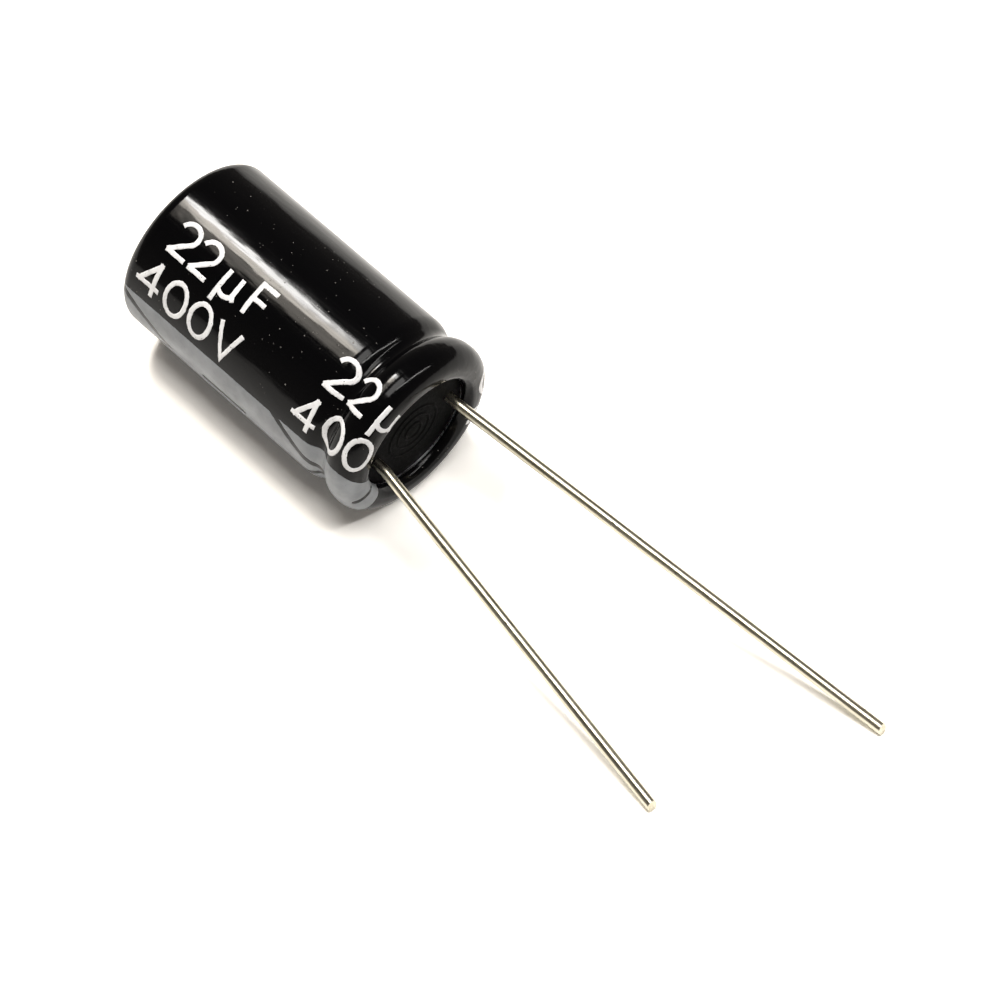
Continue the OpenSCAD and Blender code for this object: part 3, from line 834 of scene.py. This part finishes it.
wires_tree = sweeping_tree("sweep_wire", tinned_wire)
for name, node, side, length, splay in (("anode_wire", "anode_lead", 1, 27.2, 8.5),
                                        ("cathode_wire", "cathode_lead", -1, 21.9, 6.0)):
    points, radii = wire_path(side, length, splay)
    seed = line_mesh(name, [p * MM for p in points], thick=[r * MM for r in radii])
    wire = tidy(grow(name, seed, wires_tree, Sides=48, Lay_Back=math.tan(math.radians(shear_deg)),
                     Thickness=wire_r * MM))
    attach(wire, "root")
    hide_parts(node)
    print(name, "tip at", [round(float(v), 2) for v in points[-1]])

# %% [markdown]
# ## The parts that keep their CAD shape
#
# The can shows only through the sleeve's opening at its flat end, with the scored cross that
# vents it, and everything else lies inside. Their shapes are right as they are, so each
# gets a finish of its own: brushed aluminium, etched foil, paper and tape.

# %% Make the finishes inside
def brushed(title, colour, rough, lines, depth):
    """Rolled or drawn metal: fine lines across the sheet's own direction."""
    finish, tree, shader, place = new_finish(title, colour, rough, metal=1.0)
    rolled = noise_of(tree, stretched(tree, place, lines), 1.0, 3.0, 0.6)
    clouds = noise_of(tree, place, 900.0, 3.0)
    dull = tuple(0.82 * c for c in colour)
    tree.links.new(blend_colours(tree, clouds, dull, colour), shader.inputs["Base Color"])
    tree.links.new(spread(tree, rolled, 0.3, 0.7, rough - 0.08, rough + 0.1), shader.inputs["Roughness"])
    bump_up(tree, shader, rolled, depth, 0.6)
    return finish


def fibrous(title, pale, dark, rough):
    """Thin paper or tape, with fibres in every direction."""
    finish, tree, shader, place = new_finish(title, pale, rough)
    fibres = noise_of(tree, stretched(tree, place, (9000, 2500, 2500)), 1.0, 5.0, 0.7)
    damp = noise_of(tree, place, 450.0, 2.0)
    tree.links.new(blend_colours(tree, damp, dark, pale), shader.inputs["Base Color"])
    tree.links.new(spread(tree, fibres, 0.3, 0.7, rough - 0.1, rough + 0.1), shader.inputs["Roughness"])
    bump_up(tree, shader, fibres, 0.00001, 0.6)
    return finish


inside = {
    "can": brushed("can_aluminium", (0.86, 0.86, 0.87), 0.3, (9000, 600, 9000), 0.000004),
    "anode_tab": brushed("tab_aluminium", (0.8, 0.8, 0.81), 0.34, (500, 7000, 7000), 0.000005),
    "anode_foil": brushed("anode_foil", (0.42, 0.42, 0.43), 0.6, (5000, 5000, 5000), 0.000008),
    "cathode_foil": brushed("cathode_foil", (0.66, 0.66, 0.67), 0.45, (5000, 5000, 5000), 0.000006),
    "inner_separator": fibrous("paper", (0.62, 0.53, 0.38), (0.5, 0.41, 0.27), 0.7),
    "closing_tape": fibrous("tape_brown", (0.36, 0.2, 0.08), (0.28, 0.15, 0.06), 0.4),
}
inside["cathode_tab"] = inside["anode_tab"]
inside["outer_separator"] = inside["inner_separator"]
for node, finish in inside.items():
    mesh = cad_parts[node].data
    mesh.materials.clear()
    mesh.materials.append(finish)
print(len(inside), "CAD nodes keep their shape")

# %% [markdown]
# ## Floor and background
#
# The part lies on a white sheet. The lamps light it at a plain level, so the open floor comes
# out white by itself. Its colour still depends on the ray: light that bounces off the floor
# meets plain paper, mirrored rays see white, and the camera sees a colour somewhat above
# white, which leaves the object as it is and keeps the shadow as light as in the photograph.

# %% Lay the floor
def plain_floor():
    finish, tree, _, place = new_finish("floor_white", (0.92, 0.91, 0.895), 0.9)
    lift_strength = 0.06
    fine = noise_of(tree, place, 1500.0, 2.0)
    paper = blend_colours(tree, fine, (0.9, 0.89, 0.875), (0.94, 0.93, 0.915))
    light = tree.nodes.new("ShaderNodeLightPath").outputs
    mirrored = calc(tree, "MAXIMUM", light["Is Glossy Ray"], light["Is Transmission Ray"])
    seen = calc(tree, "MAXIMUM", light["Is Camera Ray"], mirrored)
    paler = blend_colours(tree, mirrored, paper, (1.0, 0.99, 0.975))
    paler = blend_colours(tree, light["Is Camera Ray"], paler, (1.5, 1.47, 1.42))
    matt = add(tree, "ShaderNodeBsdfDiffuse", {"Color": paler}).outputs[0]
    lift = add(tree, "ShaderNodeEmission",
               {"Color": (1, 0.985, 0.96, 1), "Strength": calc(tree, "MULTIPLY", seen, lift_strength)})
    both = add(tree, "ShaderNodeAddShader", [matt, lift.outputs[0]])
    tree.links.new(both.outputs[0], tree.nodes["Material Output"].inputs["Surface"])
    return finish


floor_mesh = bpy.data.meshes.new("floor")
floor_reach = 3.0
corners = [(x * floor_reach, y * floor_reach, floor_z * MM)
           for x, y in ((-1, -1), (1, -1), (1, 1), (-1, 1))]
floor_mesh.from_pydata(corners, [], [(0, 1, 2, 3)])
floor_mesh.materials.append(plain_floor())
floor = bpy.data.objects.new("floor", floor_mesh)
bpy.context.scene.collection.objects.link(floor)

# %% [markdown]
# ## Light
#
# On a glossy round body the reflection of a lamp is a stripe along the can, as wide as the
# lamp looks from there, and its place on the body says where the lamp stands. Four panels
# side by side make one soft box that is brighter along one edge. The strip light beyond
# the wires draws the thin line on the rim, and the ceiling lights the floor from where the
# straight wall can't mirror it. The world fills in softly and shows white to the camera.

# %% Place the lamps
def panel(name, middle, along, size, watts, colour=(1.0, 0.985, 0.96)):
    """A rectangular lamp that faces the part, its first side along a direction."""
    lamp = bpy.data.lights.new(name, "AREA")
    lamp.shape = "RECTANGLE"
    lamp.size, lamp.size_y = size
    lamp.energy = watts
    lamp.color = colour
    made = bpy.data.objects.new(name, lamp)
    bpy.context.scene.collection.objects.link(made)
    along = Vector(along).normalized()
    back = Vector(middle)
    back = (back - along * back.dot(along)).normalized()
    made.matrix_world = (Matrix.Translation(middle)
                         @ Matrix((along, back.cross(along), back)).transposed().to_4x4())
    radiance = watts / (math.pi * size[0] * size[1])
    print(f"{name}: {1000 * Vector(middle).length:.0f} mm away, radiance {radiance:.0f}")


WARM, BOX_WAY = (1.0, 0.93, 0.83), (1, 0, 0.45)
panel("soft_box", (-0.1555, 0.045, 0.2897), BOX_WAY, (0.042, 0.038), 0.43)
panel("soft_end", (-0.1295, 0.045, 0.3014), BOX_WAY, (0.022, 0.03), 0.077)
panel("soft_edge", (-0.146, 0.004, 0.294), BOX_WAY, (0.05, 0.046), 0.34, WARM)
panel("soft_tail", (-0.146, -0.056, 0.294), BOX_WAY, (0.044, 0.06), 0.085, WARM)
panel("strip_light", (0.12, 0.1, 0.22), (0.086, 0.4, -0.136), (0.24, 0.008), 0.26)
panel("ceiling", (0.04, 0.0, 0.43), (1, 0, -0.1), (0.2, 0.2), 0.95)

# %% Fill in with the world
world = bpy.data.worlds.new("studio")
bpy.context.scene.world = world
world.use_nodes = True
tree = world.node_tree
for old in list(tree.nodes):
    tree.nodes.remove(old)
way = tree.nodes.new("ShaderNodeTexCoord").outputs["Generated"]
height = add(tree, "ShaderNodeSeparateXYZ", [way]).outputs[2]
glow = spread(tree, height, 0.0, 0.7, 0.24, 0.07)
fill = add(tree, "ShaderNodeBackground", {"Color": (1.0, 0.91, 0.82, 1), "Strength": glow})
white = add(tree, "ShaderNodeBackground", {"Color": (1, 1, 1, 1), "Strength": 1.0})
camera_ray = tree.nodes.new("ShaderNodeLightPath").outputs["Is Camera Ray"]
shown = add(tree, "ShaderNodeMixShader", [camera_ray, fill.outputs[0], white.outputs[0]])
tree.links.new(shown.outputs[0], tree.nodes.new("ShaderNodeOutputWorld").inputs[0])
print("world and lamps are set")

# %% [markdown]
# ## Camera
#
# The camera was found by matching known points of the part, such as the rim, the corner and the
# wires' tips, to the photograph. The part sits off the middle of the frame, so the camera
# aims a little to one side of it instead of shifting its lens. After the fit the rim was
# found to lie 0.4 mm further out, so the eye is moved by as much.

# %% Set the camera
azimuth, elevation, distance = math.radians(-44.6), math.radians(58.0), 210.29
focal_px, frame_px = 4148.5, 1000.0
origin_px = (415.9, 432.7)
eye = Vector((math.cos(elevation) * math.cos(azimuth), math.cos(elevation) * math.sin(azimuth),
              math.sin(elevation))) * distance
ahead = -eye.normalized()
right = ahead.cross(Vector((0, 0, 1))).normalized()
up = right.cross(ahead)
seat_shift = Vector((0.4, 0, 0))
roll = Matrix.Rotation(math.radians(-0.1), 3, ahead)
right, up = roll @ right, roll @ up
aim = (ahead + right * (frame_px / 2 - origin_px[0]) / focal_px
       - up * (frame_px / 2 - origin_px[1]) / focal_px).normalized()
right = (right - aim * right.dot(aim)).normalized()
up = right.cross(aim)
lens = bpy.data.cameras.new("camera")
lens.sensor_width = 36.0
lens.lens = focal_px / frame_px * lens.sensor_width
lens.clip_start, lens.clip_end = 0.001, 20.0
camera = bpy.data.objects.new("camera", lens)
bpy.context.scene.collection.objects.link(camera)
camera.matrix_world = (Matrix.Translation((eye - seat_shift) * MM)
                       @ Matrix((right, up, -aim)).transposed().to_4x4())
bpy.context.scene.camera = camera
bpy.context.scene.view_settings.view_transform = "Standard"
print(f"camera: {lens.lens:.1f} mm lens, {distance:.0f} mm away")
